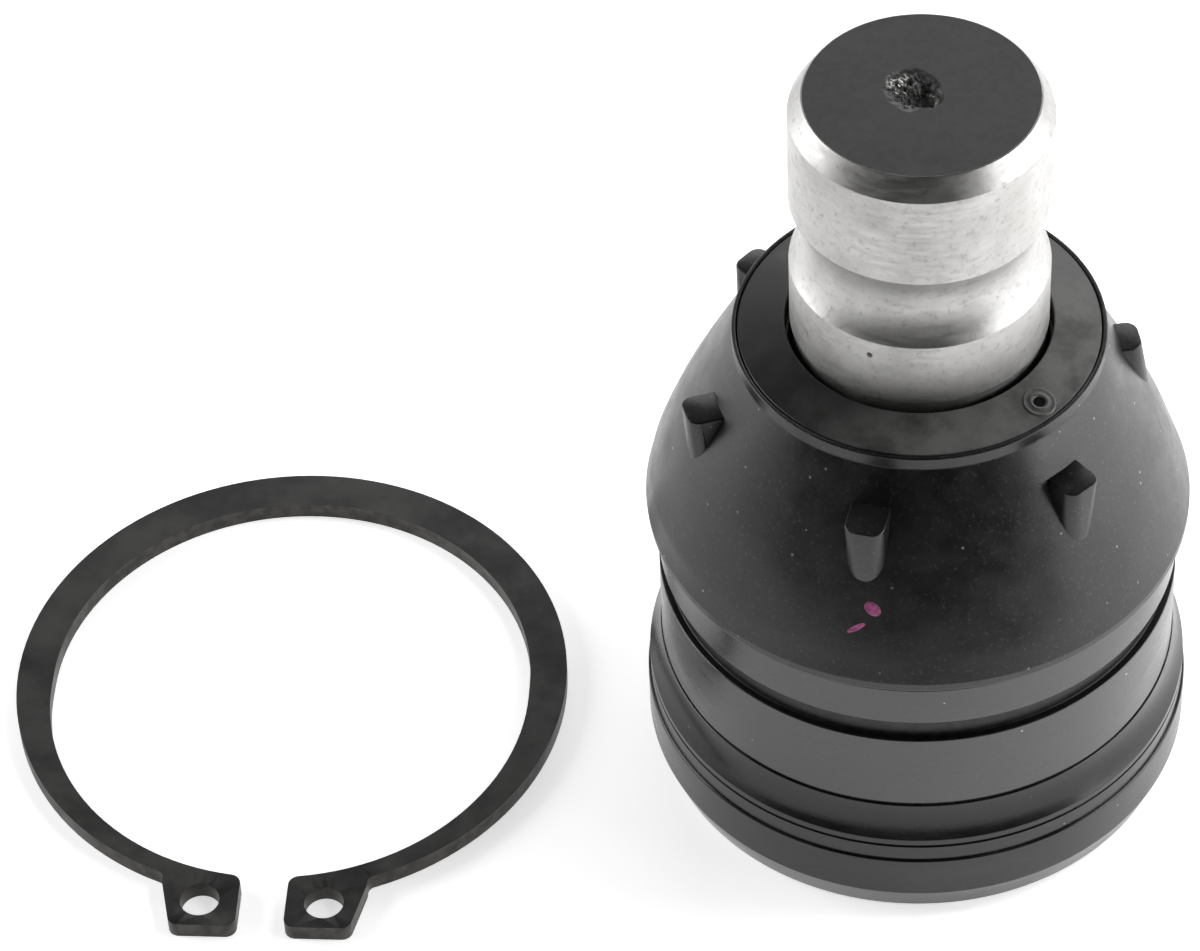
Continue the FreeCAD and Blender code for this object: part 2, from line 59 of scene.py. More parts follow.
# The camera, found from three full ellipses of the photograph
IMAGE_WIDTH = 1200
FOCAL_PIXELS = 5300
SENSOR_WIDTH = 36
CAMERA_PLACE = Vector((-25.184, -289.267, 333.87)) * MM
CAMERA_DIP = math.radians(46.41)
CAMERA_ROLL = math.radians(-2.994)
CAMERA_CLIP = (0.01, 100)

# The soft lamps: (name, place, target, width, height, watts, whether gloss shows it)
LAMP_TARGET = (0, 0, 0.035)
LAMPS = (
    ("left_box", (-0.60, 0.15, 0.26), LAMP_TARGET, 0.4, 0.4, 2.6, True),
    ("right_box", (0.62, -0.10, 0.16), LAMP_TARGET, 0.6, 0.28, 3.2, True),
    ("back_box", (0.15, 0.75, 0.35), LAMP_TARGET, 0.8, 0.4, 3.2, True),
    ("floor_box", (0.17, 0.04, 0.22), (0.17, 0.04, 0), 0.16, 0.16, 0.7, False),
)

# The room's light, as ramps of (start, end, value at the start, value at the end). LOW_DOWN and
# CEILING go by a direction's height, the others by how near it is to a side. BY_DARK_SIDE is a
# share of LOW_DOWN, and the others are added.
LOW_DOWN = (0.12, 0.60, 0.85, 0.03)
CEILING = (0.42, 0.72, 0.0, 0.26)
DARK_SIDE = (-0.35, -0.94, 0)
BY_DARK_SIDE = (0.15, 0.80, 1.0, 0.10)
SOFT_TOP = (0.30, 0.45, 0.84)
BY_SOFT_TOP = (0.78, 0.96, 0.0, 0.55)
BEHIND_FLOOR = 1.0

# The floor, whose glow rises from one strength to another between two distances
FLOOR_HALF = 6.0
FLOOR_GLOW = (0.64, 0.96)
GLOW_DISTANCES = (0.4, 1.1)

# The black card that lies in front
CARD_HALF_WIDTH = 0.7
CARD_NEAR = -0.13
CARD_FAR = -2.0
CARD_HEIGHT = 0.004

# Outlines cut from the turned CAD nodes
WELD_DISTANCE = 0.001 * MM
CUT_DISTANCE = 1e-8
CUT_DECIMALS = 8
STRAIGHT_ANGLE = math.radians(0.4)

# How corners are softened: an arc takes at most a share of the runs beside it
CORNER_ANGLE = math.radians(14)
CORNER_SHARE = 0.4
ARC_STEP = math.radians(18)
ARC_FEWEST_STEPS = 2
HOLDING_DISTANCE = 0.03 * MM
HOLDING_SHARE = 0.25
BODY_CORNER = 0.15 * MM
COLLAR_CORNER = 0.15 * MM
COVER_CORNER = 0.3 * MM
STUD_CORNER = 0.16 * MM
BOOT_CORNER = 0.3 * MM

# Meshes turned from an outline, and edges that are bevelled or shaded sharp
TURN_STEPS = 288
SHARP_ANGLE = math.radians(35)
EDGE_SEGMENTS = 3
RING_EDGE = 0.16 * MM
NUB_EDGE = 0.13 * MM

# The boot: its foot, the split between its lower and upper halves, and the height from which it
# has turned with the stud. Its foot and its neck keep their true round.
BOOT_FOOT = 26.6 * MM
BOOT_SPLIT = 34 * MM
BOOT_TURNED = 41 * MM
BOOT_NECK = 44 * MM
BOOT_FADE = 3 * MM
BOOT_ROW = 0.35 * MM
RUBBER_WAVE = 0.07 * MM
RUBBER_WAVE_LENGTH = 5 * MM

# Where the boot swells or sinks a little: (amount, azimuth, spread, height, height of the spread)
SWELLS = (
    (0.5 * MM, math.radians(185), math.radians(42), 33 * MM, 6 * MM),
    (-0.4 * MM, math.radians(8), math.radians(38), 40 * MM, 4 * MM),
)

# The nubs: a root inside the boot and a reach from the axis, at their foot and at their top
NUB_COUNT = 6
NUB_AZIMUTH = math.radians(-107.5)
BETWEEN_NUBS = NUB_AZIMUTH + math.pi / NUB_COUNT
NUB_WIDTH = 3.1 * MM
NUB_FOOT = 34.8 * MM
NUB_FOOT_ROOT = 17.4 * MM
NUB_FOOT_REACH = 18.55 * MM
NUB_FOOT_ROUND = 1.5 * MM
NUB_TOP = 41.2 * MM
NUB_ROOT = 15.0 * MM
NUB_REACH = 19.1 * MM
NUB_ROUND = 0.95 * MM
NUB_ROUND_STEPS = 8

# How each nub stands off the even pattern, in order round the boot: (turn, reach, height)
NUB_SHIFTS = (
    (0, 0, 0),
    (math.radians(-4.0), -0.4 * MM, -0.1 * MM),
    (math.radians(-6.0), -1.6 * MM, -0.5 * MM),
    (math.radians(-2.0), -0.4 * MM, -0.3 * MM),
    (math.radians(2.0), -0.8 * MM, -0.4 * MM),
    (0, -0.2 * MM, -0.3 * MM),
)

# The dabs of paint on the boot: (name, azimuth, height, half width, half height, lean)
DABS = (
    ("oval", math.radians(-104.8), 33.4 * MM, 0.70 * MM, 0.50 * MM, -0.5),
    ("stroke", math.radians(-108.1), 31.7 * MM, 0.80 * MM, 0.22 * MM, 0.6),
)
DAB_STEPS = 9
PAINT_THICKNESS = 0.03 * MM
PAINT_CLEARANCE = 0.01 * MM

# The small moulding pip on the collar, as an outline of (radius, height)
PIP_AZIMUTH = math.radians(-48.5)
PIP_RADIUS = 12.6 * MM
PIP_CENTRE = 0.46 * MM
PIP_PROFILE = (
    (0, 0.02 * MM),
    (0.46 * MM, 0.03 * MM),
    (0.54 * MM, 0.13 * MM),
    (0.68 * MM, 0.17 * MM),
    (0.86 * MM, 0.05 * MM),
    (1.02 * MM, 0.03 * MM),
    (1.2 * MM, 0.10 * MM),
    (1.38 * MM, -0.04 * MM),
)

# The rough spot in the stud's end face, inside a field of finer rows
SCAR_CENTRE = Vector((-0.5, 0.5, 0)) * MM
SCAR_RADIUS = 2.2 * MM
SCAR_DEPTH = 0.30 * MM
SCAR_STEEPNESS = 1.8
SCAR_ROW = 0.07 * MM
SCAR_FIELD = 3.6 * MM

# Its ragged edge and its rough floor, whose fractal has (fall, spacing, octaves)
RAGGED_AMOUNT = 0.45 * MM
RAGGED_SCALE = 1.7
ROUGH_AMOUNT = 0.34 * MM
ROUGH_SCALE = 1500
ROUGH_FRACTAL = (0.7, 2.1, 5)

# Its deeper hollow, and the patch of bright grains beside that
HOLLOW_CENTRE = Vector((0.35, -0.35, 0)) * MM
HOLLOW_RADIUS = 1.25 * MM
HOLLOW_DEPTH = 1.1 * MM
SPECK_CENTRE = Vector((-1.45, 1.35, 0)) * MM
SPECK_RADIUS = 1.35 * MM

# The dark end face stops this far inside its edge and this far down
END_MARGIN = 0.1 * MM
END_DEPTH = 0.6 * MM

# Where the housing's coat carries painted shade: darker and duller in the snap ring's groove, and less
# glossy on the flange and its flare
GROOVE_RADII = (20.0 * MM, 20.7 * MM)
GROOVE_HEIGHTS = (19.85 * MM, 22.05 * MM)
FLANGE_RADII = (20.7 * MM, 22.1 * MM)
FLANGE_HEIGHTS = (2.6 * MM, 12.1 * MM)

# How strongly the black coats shine. The two lower ones are painted shade: less gloss on the flange
# and in the groove, and almost none in the pip's middle
COAT_GLOSS = 0.8
SHADED_GLOSS = 0.42
HOLE_GLOSS = 0.05

# Painted sheen: the collar is painted greyer towards this side, between two distances
PAINTED_SHEEN_SIDE = (0.62, -0.78, 0)
PAINTED_SHEEN_FROM = -4 * MM
PAINTED_SHEEN_TO = 9 * MM


def clamped(value):
    """A value kept between 0 and 1."""
    return min(1.0, max(0.0, value))


def on_axis(height):
    """The point of the stud's axis at a height."""
    return Vector((0, 0, height))


def plane_cut(bm, normal, **settings):
    """Cuts a bmesh along the upright plane through the axis, and gives what lies on the cut."""
    everything = bm.verts[:] + bm.edges[:] + bm.faces[:]
    result = bmesh.ops.bisect_plane(
        bm, geom=everything, dist=CUT_DISTANCE, plane_co=(0, 0, 0), plane_no=normal, **settings
    )
    return result["geom_cut"]


def follow(links):
    """The points of an outline in order, and whether it is closed, from what each point is next to."""
    loose = sorted(point for point, others in links.items() if len(others) == 1)
    chain = [loose[0] if loose else min(links)]
    seen = set(chain)
    while True:
        onward = [point for point in sorted(links[chain[-1]]) if point not in seen]
        if not onward:
            return chain, not loose
        chain.append(onward[0])
        seen.add(onward[0])


def half_section(node, azimuth=0.0):
    """Where a half plane from the upright axis cuts a turned CAD node.

    It returns the outline's corners in order, as (radius, height), and whether it is closed.
    """
    bm = bmesh.new()
    bm.from_mesh(frame["nodes"][node].data)
    bmesh.ops.remove_doubles(bm, verts=bm.verts[:], dist=WELD_DISTANCE)
    bmesh.ops.transform(bm, matrix=Matrix.Rotation(-azimuth, 4, "Z"), verts=bm.verts[:])
    plane_cut(bm, (1, 0, 0), clear_inner=True)
    links = {}
    for edge in plane_cut(bm, (0, 1, 0)):
        if not isinstance(edge, bmesh.types.BMEdge):
            continue
        ends = [(round(v.co.x, CUT_DECIMALS), round(v.co.z, CUT_DECIMALS)) for v in edge.verts]
        if ends[0] == ends[1]:
            continue
        links.setdefault(ends[0], set()).add(ends[1])
        links.setdefault(ends[1], set()).add(ends[0])
    bm.free()
    chain, closed = follow(links)
    return straighten(chain, closed), closed


def turning(before, corner, after):
    """The angle by which an outline turns at a corner."""
    first = Vector(corner) - Vector(before)
    second = Vector(after) - Vector(corner)
    return abs(first.angle_signed(second, 0.0))


def straighten(corners, closed):
    """The outline without the corners that lie in a straight run."""
    kept = []
    count = len(corners)
    for number, corner in enumerate(corners):
        at_end = not closed and number in (0, count - 1)
        before = corners[number - 1]
        after = corners[(number + 1) % count]
        if at_end or turning(before, corner, after) > STRAIGHT_ANGLE:
            kept.append(corner)
    return kept


def soften(corners, closed, radius):
    """The outline with an arc at each true corner, held by a point close beside each of its ends."""
    result = []
    count = len(corners)
    for number, corner in enumerate(corners):
        at_end = not closed and number in (0, count - 1)
        before = Vector(corners[number - 1])
        here = Vector(corner)
        after = Vector(corners[(number + 1) % count])
        turn = 0 if at_end else turning(before, here, after)
        if turn < CORNER_ANGLE:
            result.append(tuple(here))
            continue
        room = CORNER_SHARE * min((before - here).length, (after - here).length)
        cut = min(radius * math.tan(turn / 2), room)
        hold = min(HOLDING_DISTANCE, room * HOLDING_SHARE)
        back = (before - here).normalized()
        onward = (after - here).normalized()
        start = here + back * cut
        finish = here + onward * cut
        steps = max(ARC_FEWEST_STEPS, math.ceil(turn / ARC_STEP))
        result.append(tuple(start + back * hold))
        for step in range(steps + 1):
            share = step / steps
            low = start.lerp(here, share)
            high = here.lerp(finish, share)
            result.append(tuple(low.lerp(high, share)))
        result.append(tuple(finish + onward * hold))
    return result


def refine(corners, step):
    """A closed outline with extra points, so that no run is longer than a step."""
    result = []
    for number, corner in enumerate(corners):
        here = Vector(corner)
        after = Vector(corners[(number + 1) % len(corners)])
        parts = math.ceil((after - here).length / step)
        result.append(corner)
        result += [tuple(here.lerp(after, part / parts)) for part in range(1, parts)]
    return result


def clip(corners, height, keep_above):
    """The part of a closed outline above or below a height, closed along that height."""
    side = 1 if keep_above else -1
    result = []
    for number, corner in enumerate(corners):
        before = corners[number - 1]
        inside = (corner[1] - height) * side >= 0
        was_inside = (before[1] - height) * side >= 0
        if inside != was_inside:
            share = (height - before[1]) / (corner[1] - before[1])
            result.append((before[0] + (corner[0] - before[0]) * share, height))
        if inside:
            result.append(corner)
    return result


def mark_sharp(bm):
    """Keeps the shading apart across edges that turn sharply."""
    for edge in bm.edges:
        edge.smooth = edge.calc_face_angle(0) < SHARP_ANGLE


def spin(name, corners, closed, shape=None):
    """A mesh turned from an outline. shape, if given, moves each point."""
    verts = []
    faces = []
    rings = []
    for radius, height in corners:
        if radius < WELD_DISTANCE:
            rings.append([len(verts)] * TURN_STEPS)
            verts.append(on_axis(height))
            continue
        rings.append(list(range(len(verts), len(verts) + TURN_STEPS)))
        for step in range(TURN_STEPS):
            angle = 2 * math.pi * step / TURN_STEPS
            verts.append(Vector((radius * math.cos(angle), radius * math.sin(angle), height)))
    pairs = list(zip(rings, rings[1:]))
    if closed:
        pairs.append((rings[-1], rings[0]))
    for low, high in pairs:
        for step in range(TURN_STEPS):
            onward = (step + 1) % TURN_STEPS
            face = [low[step], low[onward], high[onward], high[step]]
            faces.append(list(dict.fromkeys(face)))
    if shape:
        verts = [shape(v) for v in verts]
    mesh = bpy.data.meshes.new(name)
    mesh.from_pydata(verts, [], faces)
    bm = bmesh.new()
    bm.from_mesh(mesh)
    bmesh.ops.recalc_face_normals(bm, faces=bm.faces[:])
    mark_sharp(bm)
    bm.to_mesh(mesh)
    bm.free()
    return mesh


def link(name, mesh, body, materials):
    """Puts a mesh in the scene with its materials.

    It rides on a body, unless the body is None.
    """
    piece = bpy.data.objects.new(name, mesh)
    bpy.context.scene.collection.objects.link(piece)
    for material in materials:
        mesh.materials.append(material)
    mesh.polygons.foreach_set("use_smooth", [True] * len(mesh.polygons))
    if body:
        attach(piece, body)
    return piece


class Tree:
    """A node tree, with short calls for the nodes used here."""

    def __init__(self, tree, coordinate):
        self.tree = tree
        self.place = self.add("ShaderNodeTexCoord").outputs[coordinate]

    def add(self, kind, **settings):
        node = self.tree.nodes.new(kind)
        for key, value in settings.items():
            setattr(node, key, value)
        return node

    def join(self, source, target):
        self.tree.links.new(source, target)

    def part(self, vector, axis):
        """One of a vector's three parts."""
        node = self.add("ShaderNodeSeparateXYZ")
        self.join(vector, node.inputs[0])
        return node.outputs[axis]

    def along(self, direction):
        """How far the place lies from the origin in a direction."""
        node = self.add("ShaderNodeVectorMath", operation="DOT_PRODUCT")
        node.inputs[1].default_value = direction
        self.join(self.place, node.inputs[0])
        return node.outputs["Value"]

    def ramp(self, value, low, high, low_out=0.0, high_out=1.0):
        node = self.add("ShaderNodeMapRange", interpolation_type="SMOOTHSTEP")
        node.inputs["From Min"].default_value = low
        node.inputs["From Max"].default_value = high
        node.inputs["To Min"].default_value = low_out
        node.inputs["To Max"].default_value = high_out
        self.join(value, node.inputs["Value"])
        return node.outputs["Result"]

    def math(self, operation, first, second=0.0):
        node = self.add("ShaderNodeMath", operation=operation)
        for socket, value in zip(node.inputs, (first, second)):
            if isinstance(value, (int, float)):
                socket.default_value = value
            else:
                self.join(value, socket)
        return node.outputs[0]


class Look(Tree):
    """The node tree of a new material."""

    # The mixing node's sockets for colours, by number, because others share their names
    MIXED_COLOURS = (6, 7)
    MIX_RESULT = 2

    def __init__(self, name):
        self.material = bpy.data.materials.new(name)
        self.material.use_nodes = True
        super().__init__(self.material.node_tree, "Object")
        self.shader = self.tree.nodes["Principled BSDF"]

    def constants(self, **values):
        """Numbers and colours that are the same all over, on the shader's own sockets."""
        for key, value in values.items():
            self.shader.inputs[key.replace("_", " ")].default_value = value

    def stretched(self, scale):
        """The place on the object, stretched by a scale along each axis."""
        node = self.add("ShaderNodeMapping")
        node.inputs["Scale"].default_value = scale
        self.join(self.place, node.inputs["Vector"])
        return node.outputs["Vector"]

    def span_from(self, centre):
        """The level distance from an upright line through a centre."""
        shift = self.add("ShaderNodeVectorMath", operation="SUBTRACT")
        shift.inputs[1].default_value = centre
        self.join(self.place, shift.inputs[0])
        flat = self.add("ShaderNodeVectorMath", operation="MULTIPLY")
        flat.inputs[1].default_value = (1, 1, 0)
        self.join(shift.outputs[0], flat.inputs[0])
        span = self.add("ShaderNodeVectorMath", operation="LENGTH")
        self.join(flat.outputs[0], span.inputs[0])
        return span.outputs["Value"]

    def noise(self, scale, detail, roughness=0.5, vector=None):
        node = self.add("ShaderNodeTexNoise")
        node.inputs["Scale"].default_value = scale
        node.inputs["Detail"].default_value = detail
        node.inputs["Roughness"].default_value = roughness
        self.join(vector or self.place, node.inputs["Vector"])
        return node.outputs["Fac"]

    def cells(self, scale):
        """The distance to the nearest of many scattered points."""
        node = self.add("ShaderNodeTexVoronoi")
        node.inputs["Scale"].default_value = scale
        self.join(self.place, node.inputs["Vector"])
        return node.outputs["Distance"]

    def mix(self, factor, first, second):
        """A colour between two, each a colour or another node's output."""
        node = self.add("ShaderNodeMix", data_type="RGBA")
        self.join(factor, node.inputs["Factor"])
        for number, value in zip(self.MIXED_COLOURS, (first, second)):
            if isinstance(value, tuple):
                node.inputs[number].default_value = (*value, 1)
            else:
                self.join(value, node.inputs[number])
        return node.outputs[self.MIX_RESULT]

    def bump(self, height, distance, strength, normal=None):
        node = self.add("ShaderNodeBump")
        node.inputs["Distance"].default_value = distance
        node.inputs["Strength"].default_value = strength
        self.join(height, node.inputs["Height"])
        if normal:
            self.join(normal, node.inputs["Normal"])
        return node.outputs["Normal"]

    def dust(self, scale, size):
        """1 on a few tiny specks, 0 elsewhere."""
        speck = self.ramp(self.cells(scale), size, 0.6 * size)
        few = self.ramp(self.noise(scale * 0.8, 1.0), 0.47, 0.52)
        return self.math("MULTIPLY", speck, few)

    def finish(self, colour, roughness, normal):
        """Joins the colour, roughness and normal to the shader, and gives the material."""
        self.join(colour, self.shader.inputs["Base Color"])
        self.join(roughness, self.shader.inputs["Roughness"])
        self.join(normal, self.shader.inputs["Normal"])
        return self.material


def grey(level):
    """A colour without a tint."""
    return (level, level, level)


def turned_steel():
    """Bare steel from the lathe and the grinder: fine rings, small pits and a few dark flecks."""
    look = Look("turned_steel")
    look.constants(Metallic=1.0)
    rings = look.noise(1.0, 4.0, 0.7, look.stretched((60, 60, 5200)))
    clouds = look.noise(220, 4.0, 0.6)
    streaks = look.noise(1.0, 3.0, 0.6, look.stretched((500, 500, 2600)))
    speckle = look.noise(1700, 4.0, 0.7)
    between = look.ramp(look.cells(330), 0.05, 0.10)
    few = look.ramp(look.noise(260, 2.0), 0.60, 0.66)
    pits = look.math("MULTIPLY", look.math("SUBTRACT", 1.0, between), few)
    whole = look.math("SUBTRACT", 1.0, pits)
    tone = look.mix(look.ramp(clouds, 0.3, 0.7), (0.46, 0.455, 0.445), (0.55, 0.545, 0.535))
    tone = look.mix(look.ramp(speckle, 0.50, 0.75), tone, (0.36, 0.355, 0.345))
    tone = look.mix(whole, (0.10, 0.095, 0.09), tone)
    rough = look.ramp(streaks, 0.25, 0.75, 0.38, 0.54)
    normal = look.bump(rings, 0.004 * MM, 0.6)
    normal = look.bump(speckle, 0.012 * MM, 0.5, normal)
    normal = look.bump(whole, 0.05 * MM, 0.7, normal)
    return look.finish(tone, rough, normal)


def scaled_steel():
    """The stud's dark end face, left from forging, with bright grains in its rough spot."""
    look = Look("scaled_steel")
    look.constants(Specular_IOR_Level=0.5)
    in_scar = look.ramp(look.span_from(SCAR_CENTRE), SCAR_RADIUS, 0.75 * SCAR_RADIUS)
    by_specks = look.ramp(look.span_from(SPECK_CENTRE), SPECK_RADIUS, 0.5 * SPECK_RADIUS)
    grains = look.math("MULTIPLY", look.ramp(look.noise(2600, 4.0, 0.75), 0.52, 0.60), by_specks)
    grain = look.noise(1500, 4.0, 0.6)
    tone = look.mix(look.noise(240, 4.0, 0.6), grey(0.016), (0.030, 0.0295, 0.029))
    burns = look.ramp(look.noise(1900, 4.0, 0.7), 0.42, 0.62)
    burnt = look.mix(burns, grey(0.004), (0.055, 0.054, 0.052))
    tone = look.mix(in_scar, tone, burnt)
    tone = look.mix(grains, tone, (0.60, 0.59, 0.57))
    rough = look.ramp(grain, 0.3, 0.7, 0.44, 0.58)
    return look.finish(tone, rough, look.bump(grain, 0.02 * MM, 0.5))


def black_coat(name, gloss):
    """The thin satin black coat of the housing and its cover, with smears and a little dust."""
    look = Look(name)
    look.constants(Specular_IOR_Level=gloss)
    rings = look.noise(1.0, 3.0, 0.6, look.stretched((40, 40, 2600)))
    smears = look.noise(1.0, 4.0, 0.6, look.stretched((90, 90, 330)))
    grain = look.noise(1900, 3.0, 0.6)
    tone = look.mix(look.ramp(smears, 0.35, 0.7), grey(0.006), (0.015, 0.015, 0.0145))
    tone = look.mix(look.dust(420, 0.05), tone, (0.4, 0.39, 0.37))
    rough = look.ramp(smears, 0.3, 0.7, 0.20, 0.32)
    normal = look.bump(rings, 0.004 * MM, 0.5)
    return look.finish(tone, rough, look.bump(grain, 0.014 * MM, 0.6, normal))


def painted_shade_coat(name, gloss):
    """A black surface that stays rough and is darker than the coat: painted shade, as in the snap
    ring's groove and the pip's middle.
    """
    look = Look(name)
    look.constants(Specular_IOR_Level=gloss)
    grain = look.noise(1400, 4.0, 0.6)
    # painted shade: a tone darker than the black coat, for the shade in a recess
    tone = look.mix(grain, grey(0.002), grey(0.008))
    rough = look.ramp(grain, 0.3, 0.7, 0.36, 0.52)
    return look.finish(tone, rough, look.bump(grain, 0.02 * MM, 0.5))


def black_rubber():
    """The boot's moulded rubber: faint clouding, fine grain and a few specks of dust."""
    look = Look("black_rubber")
    look.constants(Specular_IOR_Level=0.5)
    clouds = look.noise(420, 5.0, 0.65)
    grain = look.noise(2400, 3.0, 0.6)
    powder = look.ramp(look.noise(3200, 2.0, 0.7), 0.60, 0.68)
    tone = look.mix(look.ramp(clouds, 0.30, 0.75), grey(0.005), grey(0.010))
    tone = look.mix(powder, tone, (0.032, 0.032, 0.031))
    tone = look.mix(look.dust(560, 0.075), tone, (0.20, 0.20, 0.19))
    rough = look.ramp(clouds, 0.3, 0.7, 0.30, 0.40)
    return look.finish(tone, rough, look.bump(grain, 0.016 * MM, 0.6))


def hard_rubber():
    """The collar's smooth hard rubber, with a painted sheen that turns it greyer towards one side."""
    look = Look("hard_rubber")
    look.constants(Specular_IOR_Level=0.5)
    clouds = look.noise(260, 5.0, 0.65)
    grain = look.noise(2000, 3.0, 0.6)
    # painted sheen: the colour turns greyer towards one side
    painted_sheen = look.ramp(look.along(PAINTED_SHEEN_SIDE), PAINTED_SHEEN_FROM, PAINTED_SHEEN_TO)
    base_tone = look.mix(look.ramp(clouds, 0.35, 0.7), grey(0.008), grey(0.018))
    wear_and_sheen = look.mix(look.ramp(clouds, 0.30, 0.65), (0.032, 0.032, 0.031), (0.085, 0.085, 0.083))
    rough = look.ramp(clouds, 0.3, 0.7, 0.40, 0.56)
    return look.finish(look.mix(painted_sheen, base_tone, wear_and_sheen), rough, look.bump(grain, 0.012 * MM, 0.5))


def phosphated_steel():
    """The snap ring's black phosphate, mottled, and browner on its sheared edges."""
    look = Look("phosphated_steel")
    look.constants(Metallic=0.35)
    facing = look.part(look.add("ShaderNodeNewGeometry").outputs["Normal"], "Z")
    upright = look.ramp(look.math("ABSOLUTE", facing), 0.85, 0.35)
    clouds = look.noise(190, 5.0, 0.6)
    grain = look.noise(2600, 3.0, 0.6)
    flat = look.mix(look.ramp(clouds, 0.3, 0.7), (0.022, 0.022, 0.0215), (0.056, 0.055, 0.053))
    stains = look.ramp(look.noise(900, 3.0), 0.35, 0.65)
    edge = look.mix(stains, (0.016, 0.0155, 0.014), (0.050, 0.046, 0.040))
    rough = look.ramp(clouds, 0.3, 0.7, 0.36, 0.52)
    return look.finish(look.mix(upright, flat, edge), rough, look.bump(grain, 0.012 * MM, 0.5))


def plain_steel():
    """Bright pressed steel, as on the ring in the boot's foot and the spring inside."""
    look = Look("plain_steel")
    look.constants(Metallic=1.0)
    grain = look.noise(900, 4.0, 0.6)
    tone = look.mix(grain, (0.40, 0.40, 0.41), (0.55, 0.55, 0.56))
    rough = look.ramp(grain, 0.3, 0.7, 0.32, 0.48)
    return look.finish(tone, rough, look.bump(grain, 0.01 * MM, 0.4))


def acetal():
    """The bearing shells' natural plastic."""
    look = Look("acetal")
    grain = look.noise(1400, 3.0, 0.6)
    tone = look.mix(grain, (0.78, 0.76, 0.69), (0.86, 0.84, 0.78))
    rough = look.ramp(grain, 0.3, 0.7, 0.38, 0.5)
    return look.finish(tone, rough, look.bump(grain, 0.01 * MM, 0.4))


def marking_paint():
    """Thin bright paint, dabbed on by hand."""
    look = Look("marking_paint")
    wear_and_sheen = look.noise(1900, 4.0, 0.65)
    tone = look.mix(look.ramp(wear_and_sheen, 0.35, 0.65), (0.24, 0.045, 0.14), (0.54, 0.12, 0.32))
    rough = look.ramp(wear_and_sheen, 0.3, 0.7, 0.42, 0.6)
    return look.finish(tone, rough, look.bump(wear_and_sheen, 0.02 * MM, 0.5))


def make_materials():
    """Every material by name, where a slot of the record gives its own name."""
    return {
        "stud_steel": turned_steel(),
        "stud_end": scaled_steel(),
        "housing_steel": black_coat("black_coat", COAT_GLOSS),
        "cover_steel": black_coat("cover_coat", COAT_GLOSS),
        # painted shade: these coats shine less, and the groove's and the pip middle's are also darker
        "flange": black_coat("flange_coat", SHADED_GLOSS),
        "groove": painted_shade_coat("painted_shade_coat", SHADED_GLOSS),
        # painted shade: the pip's middle is near-black with almost no gloss
        "pip_centre": painted_shade_coat("pip_centre", HOLE_GLOSS),
        "boot_rubber": black_rubber(),
        "collar_rubber": hard_rubber(),
        "ring_steel": phosphated_steel(),
        "insert_steel": plain_steel(),
        "seat_plastic": acetal(),
        "paint": marking_paint(),
    }


def finish_cad_nodes(materials):
    """Gives each CAD node the material of its own slot."""
    slots = {part["node"]: part["material_slot"] for part in frame["record"]["subparts"]}
    for name, node in frame["nodes"].items():
        for material_slot in node.material_slots:
            material_slot.material = materials[slots[name]]


def turned_copy(name, node, body, slot, radius, materials):
    """A turned CAD node again, smoother and with softened corners."""
    corners, closed = half_section(node)
    mesh = spin(name, soften(corners, closed, radius), closed)
    piece = link(name, mesh, body, [materials[slot]])
    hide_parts(node)
    return piece


def recoat(piece, radii, heights, material):
    """Gives another material to the faces between two radii and between two heights."""
    piece.data.materials.append(material)
    last = len(piece.data.materials) - 1
    for face in piece.data.polygons:
        radius = math.hypot(face.center.x, face.center.y)
        if radii[0] < radius < radii[1] and heights[0] < face.center.z < heights[1]:
            face.material_index = last


def make_body(materials):
    """The housing, with painted shade: a darker, duller coat in its groove and a less glossy coat on
    its flange.
    """
    body = turned_copy("body", "housing", "housing", "housing_steel", BODY_CORNER, materials)
    # painted shade: the groove's coat is darker and duller, and the flange's coat shines less
    recoat(body, GROOVE_RADII, GROOVE_HEIGHTS, materials["groove"])
    recoat(body, FLANGE_RADII, FLANGE_HEIGHTS, materials["flange"])


def make_cover(materials):
    """The pressed cover under the housing."""
    turned_copy("cover", "bottom_cover", "housing", "cover_steel", COVER_CORNER, materials)


def make_collar(materials):
    """The stiff ring at the boot's mouth."""
    turned_copy("collar", "boot_collar_ring", "boot_top", "collar_rubber", COLLAR_CORNER, materials)


def make_pip(materials):
    """The small ringed pip that the mould left on the collar's slope."""
    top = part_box("boot_collar_ring")[1].z
    corners, _ = half_section("boot_collar_ring")
    outer = max(corner[0] for corner in corners)
    inner = min(corner[0] for corner in corners)
    rim_height = max(corner[1] for corner in corners if corner[0] > outer - WELD_DISTANCE)
    slope = math.atan((top - rim_height) / (outer - inner))
    height = rim_height + (outer - PIP_RADIUS) * math.tan(slope)
    mesh = spin("collar_pip", PIP_PROFILE, False)
    # painted shade: the pip's middle gets a near-black coat with almost no gloss
    for face in mesh.polygons:
        if math.hypot(face.center.x, face.center.y) < PIP_CENTRE:
            face.material_index = 1
    turn = Matrix.Rotation(PIP_AZIMUTH, 4, "Z") @ Matrix.Translation((PIP_RADIUS, 0, height))
    mesh.transform(turn @ Matrix.Rotation(slope, 4, "Y"))
    pair = [materials["collar_rubber"], materials["pip_centre"]]
    link("collar_pip", mesh, "boot_top", pair)


def scar(top):
    """The shape function that sinks the stud's end face, at height top, into a rough spot."""

    def sink(point):
        if point.z < top - WELD_DISTANCE:
            return point
        flat = Vector((point.x, point.y, 0))
        offset = flat - SCAR_CENTRE
        ragged = 0
        if offset.length:
            ragged = noise.noise(offset.normalized() * RAGGED_SCALE) * RAGGED_AMOUNT
        share = max(0.0, 1 - offset.length / (SCAR_RADIUS + ragged))
        bowl = min(1.0, share * SCAR_STEEPNESS)
        aside = (flat - HOLLOW_CENTRE).length / HOLLOW_RADIUS
        hollow = max(0.0, 1 - aside**2)
        rough = noise.fractal(point * ROUGH_SCALE, *ROUGH_FRACTAL) * ROUGH_AMOUNT
        depth = bowl * (SCAR_DEPTH + rough) + hollow * (HOLLOW_DEPTH + rough)
        return Vector((point.x, point.y, point.z - depth))

    return sink


